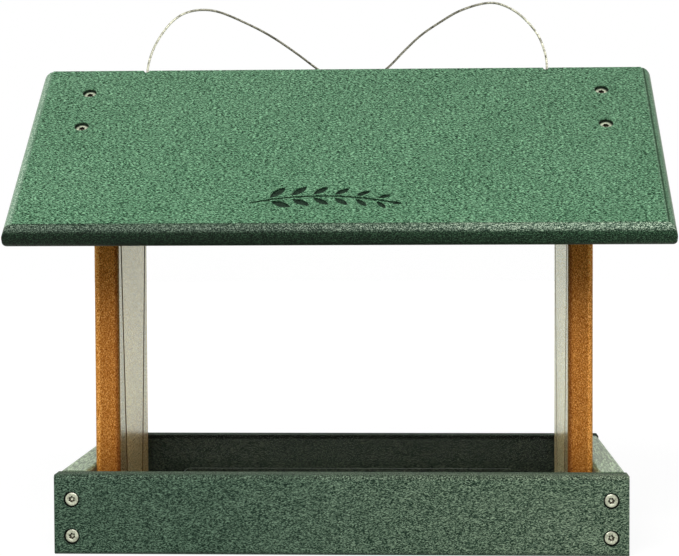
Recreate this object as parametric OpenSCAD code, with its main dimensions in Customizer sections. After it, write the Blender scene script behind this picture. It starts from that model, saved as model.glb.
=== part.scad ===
// Hanging hopper bird feeder built from recycled-plastic boards.
// A tray of four rails and a floor carries two end walls. Two leaning clear windows slide in
// grooves in the walls, and a pitched roof lifts off them along a steel hanging cable.
// Millimetres. The origin is the middle of the tray's underside, +Z is up, -Y is the front.

/* [Tray] */
// Width of the tray across the front
tray_w = 356; // [320:1:400]
// Depth of the tray from front to back
tray_d = 214; // [190:1:250]
// Height of the rails
rail_h = 50; // [44:1:64]
// Thickness of the rail boards
rail_t = 18; // [16:0.5:22]
// Roundover along the rails' long edges
rail_round = 3; // [1:0.5:5]
// Eased edge at the ends of the front and back rails
rail_ease = 0.5; // [0.3:0.1:2]
// Thickness of the floor board
floor_t = 12; // [9:0.5:14]
// Height of the floor's underside above the table
floor_lift = 8; // [5:0.5:12]
// Depth of the groove in each rail that holds the floor
dado_d = 4; // [2:0.5:4]
// Diameter of the drain holes in the floor
drain_d = 6.4; // [3:0.1:9]
// Number of drain holes along the tray
drain_count = 7; // [3:1:9]
// Spacing of the drain holes along the tray
drain_pitch = 36; // [12:1:36]

/* [End walls] */
// Thickness of the end walls
wall_t = 16; // [14:0.5:20]
// Height of the end walls from the floor board to their peak
wall_h = 267.4; // [230:0.1:300]
// Depth of the end walls from front to back
wall_d = 122; // [112:1:140]
// Roundover along the upright edges of the end walls
wall_round = 3.2; // [1:0.1:5]

/* [Windows] */
// Thickness of the clear windows
pane_t = 3; // [2:0.1:4]
// Free rise of a window under the closed roof
pane_play = 15; // [5:0.5:40]
// Lean of a window from upright, in degrees
pane_lean = 6.5; // [4:0.1:6.5]
// Distance from the middle plane to a window's foot
pane_foot = 30.6; // [20:0.1:31]
// Depth of the window grooves in the end walls
groove_d = 6; // [4:0.5:8]
// Clearance between a window and each side of its groove
pane_gap = 0.4; // [0.3:0.05:0.8]
// Width of the feed slot cut in a window's bottom edge
slot_w = 231; // [120:1:250]
// Height of the feed slot
slot_h = 14; // [8:0.5:30]
// Corner radius of the feed slot
slot_round = 5; // [1:0.5:7]

/* [Roof] */
// Overhang of the roof past each end of the tray
roof_over = 25.5; // [10:0.5:40]
// Length of each roof board down its slope
slope_l = 171.9; // [150:0.1:200]
// Thickness of the roof boards
roof_t = 16; // [14:0.5:20]
// Roof pitch, in degrees
pitch = 38; // [34:0.5:40]
// Roundover along the roof's outer edges
roof_round = 6.3; // [2:0.1:6.4]
// Small step where the roundover starts
round_step = 0.4; // [0.1:0.05:0.5]
// Gap between the roof's underside and the tops of the end walls
seat_gap = 0.3; // [0.2:0.05:0.5]

/* [Gable boards] */
// Thickness of the gable boards
gable_t = 16; // [14:0.5:20]
// Width of the gable boards from front to back
gable_w = 144; // [132:1:160]
// Height of the gable boards from their bottom edge to their peak
gable_h = 72.7; // [66:0.1:90]
// Running gap between a gable board and the end wall beside it
gable_gap = 1; // [0.5:0.1:1.5]

/* [Screws] */
// Diameter of the screw heads
head_d = 8.4; // [7:0.1:9]
// Height of the screw heads
head_h = 2.6; // [2:0.1:3]
// Depth of the tray screws' heads below the board's surface
head_sink = 0.8; // [0.3:0.1:1.2]
// Depth of the roof screws' heads below the board's surface
roof_head_sink = 1.8; // [0.3:0.1:3]
// Diameter of the screw shanks
shank_d = 4.2; // [3:0.1:4.4]
// Width across the square drive recess
drive_w = 3; // [2:0.1:3.4]
// Length of shank under the head in the rail screws
rail_screw_l = 38; // [25:1:50]
// Length of shank under the head in the end wall screws
wall_screw_l = 26; // [20:1:28]
// Length of shank under the head in the roof screws
roof_screw_l = 26; // [18:1:28]
// Height of the lower rail screws
rail_screw_z = 11.5; // [9:0.5:14]
// Height of the upper rail screws above the lower ones
rail_screw_rise = 23; // [14:0.5:26]
// Offset of the rail screws inward from the middle of a side rail
rail_screw_in = 2; // [0:0.5:2]
// Distance of the upper roof screws down the slope from the ridge
roof_screw_a = 26; // [25:0.5:36]
// Distance of the lower roof screws down the slope from the ridge
roof_screw_b = 64; // [50:0.5:70]

/* [Hanging cable] */
// Diameter of the steel cable
cable_d = 1.6; // [1:0.1:2]
// Distance of the ridge holes inward from the end walls' inner faces
hole_in = 10; // [8:0.5:24]
// Diameter of the ridge holes
hole_d = 3.6; // [3.5:0.1:8]
// Distance of the cable eyes below the peak of the end walls
eye_drop = 25.4; // [18:0.1:40]
// Inside diameter of the cable eyes
eye_bore = 4; // [3:0.1:5]
// Wire diameter of the cable eyes
eye_wire = 3; // [2:0.1:3.4]
// Depth of an eye's shank in the end wall
eye_hold = 11; // [6:1:13]
// Diameter of the crimped stops
stop_d = 6; // [5.5:0.1:8]
// Length of the crimped stops
stop_l = 8; // [5:0.5:12]

/* [Carved sprig] */
// Overall length of the stem
stem_l = 88; // [60:1:110]
// Distance of the sprig down the slope from the ridge
sprig_down = 139; // [100:1:145]
// Length of a leaf
leaf_l = 14; // [8:0.5:16]
// Depth of the carving
carve_d = 1.2; // [0.4:0.1:2]

/* [Hidden] */
$fn = 64;

green_roof = "#5f9275";
green_tray = "#4b6657";
tan_board = "#a8692c";
clear_pane = [0.85, 0.92, 0.95, 0.3];
steel = "#b9bab8";

// Running clearances
dado_gap = 0.2;
shank_gap = 0.1;
bore_gap = 0.8;
roof_bore_gap = 0.5;
cut_over = 1;

// Where the boards lie
side_in = tray_w / 2 - rail_t;
floor_top = floor_lift + floor_t;
wall_in = side_in - wall_t;
hole_x = wall_in - hole_in;
roof_l = tray_w + 2 * roof_over;
gable_mid = side_in + gable_gap + gable_t / 2;
under_ridge = floor_top + wall_h + seat_gap;
ridge_h = under_ridge + roof_t / cos(pitch);
gable_low = under_ridge - gable_h;
eye_z = floor_top + wall_h - eye_drop;
// Length up a window's slope, from its foot to the roof's underside, less its free rise
pane_reach = under_ridge - floor_top - seat_gap + pane_t / 2 * sin(pane_lean)
    - (pane_foot + pane_t / 2 * cos(pane_lean)) * tan(pitch);
pane_l = pane_reach / (cos(pane_lean) + sin(pane_lean) * tan(pitch)) - pane_play;
rail_screw_x = tray_w / 2 - rail_t / 2 - rail_screw_in;
// The end wall screws' distances from the wall's upright edge and from the floor
wall_screw_edge = 13;
wall_screw_rise = 15;
wall_screw_y = wall_d / 2 - wall_screw_edge;
wall_screw_z = floor_top + wall_screw_rise;
// The drain holes' rows, just inside the walls' edges and along the rails
drain_in = 5;
drain_edge = 9;
drain_near = wall_d / 2 - drain_in;
drain_far = tray_d / 2 - rail_t - drain_edge;
drive_depth = 1.8;
tip_l = 4;
head_bevel = 0.5;
// The sprig's place along the roof, its bend, and its leaves
sprig_x = -10;
stem_bend = 150;
stem_w = 1.6;
leaf_pairs = 6;
leaf_angle = 38;
leaf_drop = 0.55;
first_leaf = 0.36;
leaf_step = 0.15;
last_leaf = -0.48;

// The cable's free loops: up out of the left ridge hole, over, down behind the ridge to rest on
// the back board, over again and down into the right ridge hole
cable_route = [
    [-134, 0, 280.4], [-134, 0, 286], [-133.9, 0, 292], [-133.8, 0, 298], [-133.6, 0, 304],
    [-133.1, 0.1, 310], [-131.4, 0.5, 317], [-128.2, 1, 325], [-122.6, 1.5, 334], [-116, 2, 341.5],
    [-107.5, 2.7, 346.8], [-96, 3.5, 348.8], [-83.5, 4.4, 346.8], [-65, 5.6, 338.8],
    [-50, 6.8, 330.8], [-34, 8.4, 320], [-19, 10.4, 308.8], [-8.5, 12.2, 302], [3, 13.2, 299.4],
    [15, 12.4, 301.4], [27.5, 10.6, 308.8], [40, 9, 321], [51, 7.8, 331], [64, 6.6, 339.6],
    [77, 5.4, 346.8], [93, 4, 351.4], [104.5, 3.2, 350.5], [117, 2.3, 343.4], [128, 1.3, 331.2],
    [133.2, 0.5, 319], [134.7, 0.1, 310], [134.4, 0, 304], [134.2, 0, 298], [134.1, 0, 292],
    [134, 0, 286], [134, 0, 280.4]];
// The short tail inside the roof, from its stop up to the ridge hole, for the right-hand side
tail_route = [[134, 0, 260], [134, 0, 265], [134, 0, 270], [134, 0, 275], [134, 0, 280.1]];
cord_sides = 8;
route_steps = 2;
tail_steps = 1;

// Rectangle with rounded corners, drawn about its middle
module round_rect(size, r) {
    square([size[0] - 2 * r, size[1]], center = true);
    square([size[0], size[1] - 2 * r], center = true);
    for (sx = [-1, 1]) {
        for (sy = [-1, 1]) {
            translate([sx * (size[0] / 2 - r), sy * (size[1] / 2 - r)]) circle(r = r);
        }
    }
}

// A board drawn about its middle, with rounded long edges and eased ends
module board(size, r_long, r_end) {
    intersection() {
        rotate([90, 0, 90]) linear_extrude(size[0], center = true) round_rect([size[1], size[2]], r_long);
        rotate([90, 0, 0]) linear_extrude(size[1], center = true) round_rect([size[0], size[2]], r_end);
        linear_extrude(size[2], center = true) round_rect([size[0], size[1]], r_end);
    }
}

// Screw with its board's surface at z = 0 and its shank pointing down
module screw(shank_l, sink) {
    translate([0, 0, -sink]) difference() {
        rotate_extrude() polygon([[0, 0], [head_d / 2 - head_bevel, 0], [head_d / 2, -head_bevel],
            [head_d / 2, -head_h], [shank_d / 2, -head_h], [shank_d / 2, tip_l - head_h - shank_l],
            [0, -head_h - shank_l]]);
        translate([-drive_w / 2, -drive_w / 2, -drive_depth])
            cube([drive_w, drive_w, drive_depth + cut_over]);
    }
}

// Counterbore and shank hole for one screw
module screw_hole(shank_l, sink, gap) {
    head_floor = sink + head_h;
    translate([0, 0, -head_floor]) cylinder(d = head_d + 2 * gap, h = head_floor + cut_over);
    translate([0, 0, -head_floor - shank_l - shank_gap])
        cylinder(d = shank_d + 2 * shank_gap, h = shank_l + cut_over);
}

// Places of the screws, each with its axis pointing out of the board
module rail_screw_places(side) {
    for (sx = [-1, 1]) {
        for (rise = [0, rail_screw_rise]) {
            translate([sx * rail_screw_x, side * tray_d / 2, rail_screw_z + rise])
                rotate([-90 * side, 0, 0]) children();
        }
    }
}

module wall_screw_places() {
    for (sx = [-1, 1]) {
        for (sy = [-1, 1]) {
            translate([sx * tray_w / 2, sy * wall_screw_y, wall_screw_z]) rotate([0, 90 * sx, 0]) children();
        }
    }
}

// Frame of the front roof board: its top surface is z = 0 and it runs along -Y from the ridge
module roof_frame() {
    translate([0, 0, ridge_h]) rotate([pitch, 0, 0]) children();
}

module roof_screw_places() {
    roof_frame()
        for (sx = [-1, 1]) {
            for (down = [roof_screw_a, roof_screw_b]) {
                translate([sx * gable_mid, -down, 0]) children();
            }
        }
}

// Groove that the floor board lies in
module floor_space(gap) {
    translate([-side_in - dado_d - gap, -tray_d / 2 + rail_t - dado_d - gap, floor_lift])
        cube([2 * (side_in + dado_d + gap), tray_d - 2 * rail_t + 2 * (dado_d + gap), floor_t + gap]);
}

module long_rail(side) {
    difference() {
        translate([0, side * (tray_d - rail_t) / 2, rail_h / 2])
            board([tray_w, rail_t, rail_h], rail_round, rail_ease);
        floor_space(dado_gap);
        rail_screw_places(side) screw_hole(rail_screw_l, head_sink, bore_gap);
    }
}

module side_rail(side) {
    run = tray_d - 2 * rail_t;
    difference() {
        translate([side * (tray_w - rail_t) / 2, 0, rail_h / 2])
            rotate([90, 0, 0]) linear_extrude(run, center = true) round_rect([rail_t, rail_h], rail_round);
        floor_space(dado_gap);
        rail_screw_places(-1) screw_hole(rail_screw_l, head_sink, bore_gap);
        rail_screw_places(1) screw_hole(rail_screw_l, head_sink, bore_gap);
        wall_screw_places() screw_hole(wall_screw_l, head_sink, bore_gap);
    }
}

module tray_floor() {
    color(green_tray) difference() {
        floor_space(0);
        for (row = [-drain_far, -drain_near, drain_near, drain_far]) {
            for (i = [0 : drain_count - 1]) {
                translate([(i - (drain_count - 1) / 2) * drain_pitch, row, floor_lift - cut_over])
                    cylinder(d = drain_d, h = floor_t + 2 * cut_over);
            }
        }
    }
}

// Upright board with its top cut to the roof's pitch, drawn across X = 0
module peaked_board(thick, depth, low, gap, r) {
    half = depth / 2;
    peak = under_ridge - gap;
    shoulder = peak - half * tan(pitch);
    intersection() {
        rotate([90, 0, 90]) linear_extrude(thick, center = true)
            polygon([[-half, low], [half, low], [half, shoulder], [0, peak], [-half, shoulder]]);
        translate([0, 0, low]) linear_extrude(peak - low) round_rect([thick, depth], r);
    }
}

// Frame of a window: its foot is at z = 0 and it runs up its slope
module window_frame(side) {
    translate([0, side * pane_foot, floor_top]) rotate([-side * pane_lean, 0, 0]) children();
}

module window_groove(side) {
    width = pane_t + 2 * pane_gap;
    window_frame(side) translate([-wall_in - groove_d, -width / 2, -floor_t / 2])
        cube([2 * (wall_in + groove_d), width, ridge_h]);
}

module end_wall(side) {
    color(tan_board) difference() {
        translate([side * (side_in - wall_t / 2), 0, 0])
            peaked_board(wall_t, wall_d, floor_top, seat_gap, wall_round);
        window_groove(-1);
        window_groove(1);
        wall_screw_places() screw_hole(wall_screw_l, head_sink, bore_gap);
        translate([side * wall_in, 0, eye_z]) rotate([0, -90 * side, 0])
            translate([0, 0, -eye_hold - shank_gap])
                cylinder(d = eye_wire + 2 * shank_gap, h = eye_hold + cut_over);
    }
}

module window(side) {
    width = 2 * (wall_in + groove_d - pane_gap);
    color(clear_pane) window_frame(side) translate([0, pane_t / 2, seat_gap])
        rotate([90, 0, 0]) linear_extrude(pane_t) difference() {
            translate([-width / 2, 0]) square([width, pane_l]);
            translate([-slot_w / 2, -cut_over]) square([slot_w, slot_h - slot_round + cut_over]);
            translate([-slot_w / 2 + slot_round, -cut_over])
                square([slot_w - 2 * slot_round, slot_h + cut_over]);
            for (sx = [-1, 1]) {
                translate([sx * (slot_w / 2 - slot_round), slot_h - slot_round]) circle(r = slot_round);
            }
        }
}

// A leaf is where two equal circles overlap
module leaf(length) {
    reach = length / 2;
    drop = length * leaf_drop;
    leaf_r = sqrt(reach * reach + drop * drop);
    translate([reach, 0]) intersection() {
        translate([0, drop]) circle(r = leaf_r);
        translate([0, -drop]) circle(r = leaf_r);
    }
}

// Curved stem with leaves in pairs, getting smaller towards the tip
module sprig() {
    stem_turn = stem_l / stem_bend * 180 / PI;
    intersection() {
        translate([0, -stem_bend]) difference() {
            circle(r = stem_bend + stem_w / 2, $fn = 128);
            circle(r = stem_bend - stem_w / 2, $fn = 128);
        }
        translate([-stem_l / 2, -stem_l / 4]) square([stem_l, stem_l / 2]);
    }
    for (i = [0 : leaf_pairs - 1]) {
        turn = stem_turn * (first_leaf - i * leaf_step);
        for (sy = [-1, 1]) {
            translate([0, -stem_bend]) rotate(turn) translate([0, stem_bend + sy * stem_w])
                rotate(sy * leaf_angle) leaf(leaf_l - i);
        }
    }
    translate([0, -stem_bend]) rotate(last_leaf * stem_turn) translate([0, stem_bend])
        leaf(leaf_l - leaf_pairs);
}

// Half of the roof: a board with a plumb cut at the ridge and rounded outer edges
module roof_board_blank() {
    drop = round_step + roof_round;
    flat_l = slope_l - roof_round;
    intersection() {
        translate([0, 0, ridge_h]) rotate([90, 0, 90]) linear_extrude(roof_l, center = true)
            rotate(pitch) {
                polygon([[0, 0], [-flat_l, 0], [-flat_l, -roof_t], [-roof_t * tan(pitch), -roof_t]]);
                translate([-slope_l, -roof_t + drop]) square([2 * roof_round, roof_t - 2 * drop]);
                for (down = [drop, roof_t - drop]) {
                    translate([-flat_l, -down]) circle(r = roof_round);
                }
            }
        roof_frame() rotate([90, 0, 0]) translate([0, 0, -roof_t]) linear_extrude(slope_l + 2 * roof_t) {
            translate([-roof_l / 2 + roof_round, -roof_t]) square([roof_l - 2 * roof_round, roof_t]);
            translate([-roof_l / 2, -roof_t + drop]) square([roof_l, roof_t - 2 * drop]);
            for (sx = [-1, 1]) {
                for (down = [drop, roof_t - drop]) {
                    translate([sx * (roof_l / 2 - roof_round), -down]) circle(r = roof_round);
                }
            }
        }
    }
}

module roof_board() {
    difference() {
        roof_board_blank();
        roof_screw_places() screw_hole(roof_screw_l, roof_head_sink, roof_bore_gap);
        for (sx = [-1, 1]) {
            translate([sx * hole_x, 0, under_ridge - roof_t]) cylinder(d = hole_d, h = 3 * roof_t);
        }
    }
}

module roof_front_board() {
    color(green_roof) difference() {
        roof_board();
        roof_frame() translate([sprig_x, -sprig_down, -carve_d]) linear_extrude(carve_d + cut_over) sprig();
    }
}

module roof_back_board() {
    color(green_roof) mirror([0, 1, 0]) roof_board();
}

module gable_board(side) {
    color(green_roof) difference() {
        translate([side * gable_mid, 0, 0]) peaked_board(gable_t, gable_w, gable_low, 0, rail_ease);
        roof_screw_places() screw_hole(roof_screw_l, roof_head_sink, roof_bore_gap);
        mirror([0, 1, 0]) roof_screw_places() screw_hole(roof_screw_l, roof_head_sink, roof_bore_gap);
    }
}

// Screw eye with its ring lying flat, held in the inner face of an end wall
module cable_eye(side) {
    ring_r = (eye_bore + eye_wire) / 2;
    shank_l = wall_in + eye_hold - hole_x - ring_r;
    color(steel) translate([side * hole_x, 0, eye_z]) {
        rotate_extrude() translate([ring_r, 0]) circle(d = eye_wire);
        rotate([0, 90 * side, 0]) translate([0, 0, ring_r]) cylinder(d = eye_wire, h = shank_l);
    }
}

// Crimped sleeve that stops the cable under its eye
module cable_stop(side) {
    bevel = stop_d / 10;
    top = tail_route[0][2];
    color(steel) translate([side * hole_x, 0, top - stop_l]) rotate_extrude()
        polygon([[0, 0], [stop_d / 2 - bevel, 0], [stop_d / 2, bevel], [stop_d / 2, stop_l - bevel],
            [stop_d / 2 - bevel, stop_l], [0, stop_l]]);
}

// Point on the smooth curve through a route, at step k of each stretch
function route_end(route, i) = route[max(0, min(len(route) - 1, i))];
function blend_point(a, b, c, d, t) =
    0.5 * (2 * b + (c - a) * t + (2 * a - 5 * b + 4 * c - d) * t * t + (3 * b - a - 3 * c + d) * t * t * t);
function smooth_route(route, steps) = [
    for (i = [0 : len(route) - 2]) for (k = [0 : steps - 1])
        blend_point(route_end(route, i - 1), route[i], route[i + 1], route_end(route, i + 2), k / steps),
    route[len(route) - 1]];
function unit(v) = v / norm(v);
function heading(path, i) =
    i == 0 || i == len(path) - 1 ? [0, 0, i == 0 ? path[1][2] - path[0][2] : path[i][2] - path[i - 1][2]]
    : path[i + 1] - path[i - 1];

// Round cord swept along a route
module cord(route, steps) {
    path = smooth_route(route, steps);
    count = len(path);
    ring_points = [for (i = [0 : count - 1])
        let (ahead = unit(heading(path, i)), side = unit(cross(ahead, [0, 1, 0])), up = cross(ahead, side))
        for (k = [0 : cord_sides - 1])
            path[i] + cable_d / 2 * (cos(k * 360 / cord_sides) * side + sin(k * 360 / cord_sides) * up)];
    wall_faces = [for (i = [0 : count - 2]) for (k = [0 : cord_sides - 1])
        let (a = i * cord_sides + k, b = i * cord_sides + (k + 1) % cord_sides)
        each [[a, a + cord_sides, b], [b, a + cord_sides, b + cord_sides]]];
    first_cap = [for (k = [0 : cord_sides - 1]) k];
    last_cap = [for (k = [cord_sides - 1 : -1 : 0]) (count - 1) * cord_sides + k];
    polyhedron(ring_points, concat(wall_faces, [first_cap, last_cap]));
}

module cable_tail(side) {
    color(steel) mirror([side < 0 ? 1 : 0, 0, 0]) cord(tail_route, tail_steps);
}

color(green_tray) long_rail(-1);  // front_rail
color(green_tray) long_rail(1);  // back_rail
color(green_tray) side_rail(-1);  // left_rail
color(green_tray) side_rail(1);  // right_rail
tray_floor();
end_wall(-1);  // left_end_wall
end_wall(1);  // right_end_wall
window(-1);  // front_window
window(1);  // back_window
roof_front_board();
roof_back_board();
gable_board(-1);  // left_gable_board
gable_board(1);  // right_gable_board
color(steel) rail_screw_places(-1) screw(rail_screw_l, head_sink);  // front_rail_screws
color(steel) rail_screw_places(1) screw(rail_screw_l, head_sink);  // back_rail_screws
color(steel) wall_screw_places() screw(wall_screw_l, head_sink);  // end_wall_screws
color(steel) roof_screw_places() screw(roof_screw_l, roof_head_sink);  // front_roof_screws
color(steel) mirror([0, 1, 0]) roof_screw_places() screw(roof_screw_l, roof_head_sink);  // back_roof_screws
cable_eye(-1);  // left_cable_eye
cable_eye(1);  // right_cable_eye
cable_stop(-1);  // left_cable_stop
cable_stop(1);  // right_cable_stop
cable_tail(-1);  // left_cable_tail
cable_tail(1);  // right_cable_tail
color(steel) cord(cable_route, route_steps);  // hanging_cable
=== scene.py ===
import bpy
import math
from mathutils import Matrix, Vector


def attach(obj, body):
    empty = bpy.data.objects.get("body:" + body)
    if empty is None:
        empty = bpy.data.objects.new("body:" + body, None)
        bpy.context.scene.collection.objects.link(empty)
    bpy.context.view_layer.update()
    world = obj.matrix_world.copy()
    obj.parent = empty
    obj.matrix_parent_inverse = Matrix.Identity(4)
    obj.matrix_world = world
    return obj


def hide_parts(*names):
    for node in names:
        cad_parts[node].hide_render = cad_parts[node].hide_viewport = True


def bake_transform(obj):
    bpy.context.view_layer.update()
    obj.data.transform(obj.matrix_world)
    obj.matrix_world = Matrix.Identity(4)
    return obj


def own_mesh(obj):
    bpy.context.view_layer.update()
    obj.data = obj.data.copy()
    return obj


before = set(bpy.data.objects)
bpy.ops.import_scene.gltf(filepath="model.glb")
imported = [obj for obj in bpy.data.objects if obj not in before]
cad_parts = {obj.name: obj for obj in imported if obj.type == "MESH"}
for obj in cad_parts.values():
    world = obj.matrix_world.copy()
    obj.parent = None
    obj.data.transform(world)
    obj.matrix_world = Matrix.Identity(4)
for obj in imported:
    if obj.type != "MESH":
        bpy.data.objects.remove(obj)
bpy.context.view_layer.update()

mm = 0.001


def fromScreen(red, green, blue, alpha=1.0):
    # a colour as a screen shows it, 0 to 255, turned into Blender's linear values
    def linear(c):
        c = c / 255
        return c / 12.92 if c <= 0.04045 else ((c + 0.055) / 1.055) ** 2.4
    return (linear(red), linear(green), linear(blue), alpha)


# Camera at the photograph's viewing angle

camera = {
    "place": (0.05116, -1.212, 0.21516),
    "turn": 0.04582,  # radians to the left of straight ahead
    "tilt": 0.03905,  # radians below level
    "roll": -0.0043,
    "lens": 95.5,
}

cameraData = bpy.data.cameras.new("photoCamera")
cameraData.sensor_width = 36.0
cameraData.lens = camera["lens"]
cameraData.clip_start = 0.02
cameraData.clip_end = 60.0
photoCamera = bpy.data.objects.new("photoCamera", cameraData)
bpy.context.scene.collection.objects.link(photoCamera)
photoCamera.matrix_world = (
    Matrix.Translation(camera["place"])
    @ Matrix.Rotation(camera["turn"], 4, "Z")
    @ Matrix.Rotation(math.pi / 2 - camera["tilt"], 4, "X")
    @ Matrix.Rotation(camera["roll"], 4, "Z")
)
bpy.context.scene.camera = photoCamera
print("camera placed")


# Mesh helpers shared by the cable, the screws and the small steel parts

def addPiece(name, points, faces, creaseAngle=40):
    mesh = bpy.data.meshes.new(name)
    mesh.from_pydata([tuple(p) for p in points], [], faces)
    mesh.update()
    mesh.shade_smooth()
    mesh.set_sharp_from_angle(angle=math.radians(creaseAngle))
    piece = bpy.data.objects.new(name, mesh)
    bpy.context.scene.collection.objects.link(piece)
    return piece


def smoothRoute(points, steps):
    # the same smooth curve that the CAD cable follows
    def point(i):
        return Vector(points[max(0, min(len(points) - 1, i))])
    route = []
    for i in range(len(points) - 1):
        a, b, c, d = (point(i + k) for k in (-1, 0, 1, 2))
        for k in range(steps):
            t = k / steps
            route.append(0.5 * (2 * b + (c - a) * t + (2 * a - 5 * b + 4 * c - d) * t ** 2
                                + (3 * b - a - 3 * c + d) * t ** 3))
    route.append(point(len(points) - 1))
    return route


def evenRoute(route, gap):
    # the same line with its points an even distance apart
    lengths = [0.0]
    for a, b in zip(route, route[1:]):
        lengths.append(lengths[-1] + (b - a).length)
    count = max(2, round(lengths[-1] / gap))
    even, k = [], 0
    for i in range(count + 1):
        goal = lengths[-1] * i / count
        while k < len(route) - 2 and lengths[k + 1] < goal:
            k += 1
        share = (goal - lengths[k]) / (lengths[k + 1] - lengths[k])
        even.append(route[k].lerp(route[k + 1], share))
    return even


def carriedFrames(line):
    # two directions across the line at each point, carried along it without twisting
    ahead = [(line[min(i + 1, len(line) - 1)] - line[max(i - 1, 0)]).normalized()
             for i in range(len(line))]
    across = ahead[0].orthogonal().normalized()
    frames = []
    for i, way in enumerate(ahead):
        if i:
            across = ahead[i - 1].rotation_difference(way) @ across
        across = (across - across.dot(way) * way).normalized()
        frames.append((across, way.cross(across)))
    return frames


def addTube(points, faces, line, radius, sides):
    # round wire along a line, closed at both ends
    start = len(points)
    for centre, (across, over) in zip(line, carriedFrames(line)):
        for k in range(sides):
            angle = 2 * math.pi * k / sides
            points.append(centre + radius * (math.cos(angle) * across + math.sin(angle) * over))
    for i in range(len(line) - 1):
        for k in range(sides):
            a = start + i * sides + k
            b = start + i * sides + (k + 1) % sides
            faces.append((a, b, b + sides, a + sides))
    last = start + (len(line) - 1) * sides
    faces.append(tuple(start + k for k in reversed(range(sides))))
    faces.append(tuple(last + k for k in range(sides)))


# Hanging cable: one wire rope from the stop under the left eye to the stop under the right one

rope = {
    "diameter": 1.6 * mm,
    "layLength": 11 * mm,  # one full turn of a strand
    "strands": 6,
    "strandSides": 6,
    "strandSpread": 3.05,  # the rope's diameter over the strands' distance from its middle
    "curveSteps": 12,
    "ringGap": 0.8 * mm,
    "holeX": 134,  # millimetres from the middle to each ridge hole
    "tailHeights": (260, 265, 270, 275),  # millimetres, of the points of the route inside the roof
    "partAt": 306 * mm,  # height in the ridge holes where the loops and the tails meet
    "tailTurns": (262 * mm, 300 * mm),  # the tails turn over from the tray to the roof between these
    "ridge": 308 * mm,
    "flattened": 0.3,  # height left in the loops when the roof is lifted, from the cable's length
}
loopRoute = [  # millimetres
    (-134, 0, 280.4), (-134, 0, 286), (-133.9, 0, 292), (-133.8, 0, 298), (-133.6, 0, 304),
    (-133.1, 0.1, 310), (-131.4, 0.5, 317), (-128.2, 1, 325), (-122.6, 1.5, 334), (-116, 2, 341.5),
    (-107.5, 2.7, 346.8), (-96, 3.5, 348.8), (-83.5, 4.4, 346.8), (-65, 5.6, 338.8),
    (-50, 6.8, 330.8), (-34, 8.4, 320), (-19, 10.4, 308.8), (-8.5, 12.2, 302), (3, 13.2, 299.4),
    (15, 12.4, 301.4), (27.5, 10.6, 308.8), (40, 9, 321), (51, 7.8, 331), (64, 6.6, 339.6),
    (77, 5.4, 346.8), (93, 4, 351.4), (104.5, 3.2, 350.5), (117, 2.3, 343.4), (128, 1.3, 331.2),
    (133.2, 0.5, 319), (134.7, 0.1, 310), (134.4, 0, 304), (134.2, 0, 298), (134.1, 0, 292),
    (134, 0, 286), (134, 0, 280.4),
]


def ropePiece(name, line, frames, first, last):
    # the strands of the rope between two of its points, in step along the whole rope
    spread = rope["diameter"] / rope["strandSpread"]
    wire = rope["diameter"] / 2 - spread
    points, faces = [], []
    addTube(points, faces, line[first:last + 1], wire, rope["strandSides"])
    for k in range(rope["strands"]):
        strand = []
        for i in range(first, last + 1):
            angle = 2 * math.pi * (k / rope["strands"] + i * rope["ringGap"] / rope["layLength"])
            across, over = frames[i]
            strand.append(line[i] + spread * (math.cos(angle) * across + math.sin(angle) * over))
        addTube(points, faces, strand, wire, rope["strandSides"])
    return addPiece(name, points, faces, creaseAngle=80)


leftRise = [(-rope["holeX"], 0, z) for z in rope["tailHeights"]]
rightFall = [(rope["holeX"], 0, z) for z in reversed(rope["tailHeights"])]
smoothRope = smoothRoute(leftRise + loopRoute + rightFall, rope["curveSteps"])
ropeLine = evenRoute([mm * p for p in smoothRope], rope["ringGap"])
ropeFrames = carriedFrames(ropeLine)
topOut = next(i for i, p in enumerate(ropeLine) if p.z > rope["partAt"])
topIn = max(i for i, p in enumerate(ropeLine) if p.z > rope["partAt"])

cableLoops = ropePiece("cableLoops", ropeLine, ropeFrames, topOut, topIn)
leftCableTail = ropePiece("leftCableTail", ropeLine, ropeFrames, 0, topOut)
rightCableTail = ropePiece("rightCableTail", ropeLine, ropeFrames, topIn, len(ropeLine) - 1)


ropeParts = (
    (cableLoops, ropeLine[topOut:topIn + 1], "hanging_cable"),
    (leftCableTail, ropeLine[:topOut + 1], "left_cable_tail"),
    (rightCableTail, ropeLine[topIn:][::-1], "right_cable_tail"),
)
for ropePart, partLine, cadNode in ropeParts:
    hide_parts(cadNode)
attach(cableLoops, "roof")
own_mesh(cableLoops)
for tail, side in ((leftCableTail, -1), (rightCableTail, 1)):
    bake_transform(tail)
print("cable laid:", len(ropeLine), "rings")


# Screws: a flat head with a six-lobed drive, a tapered neck and a threaded shank

screw = {  # millimetres
    "segments": 36,
    "headRadius": 4.2,
    "driveRadius": 1.78,
    "lobes": 6,
    "lobeDepth": 0.3,
    "driveDepth": 1.8,
    "headHeight": 2.6,
    "crest": 2.1,
    "root": 1.55,
    "threadPitch": 2.4,
    "threadShare": 0.28,  # of the pitch, on either side of a crest
    "threadRow": 0.4,
    "tip": 4.0,
    "railShank": 38,
    "wallShank": 26,
    "roofShank": 26,
    "sunk": 0.8,
    "sunkRoof": 1.8,
    "turns": (0.7, 1.9),  # the first drive's turn, and each next one's beyond it
}


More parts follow.
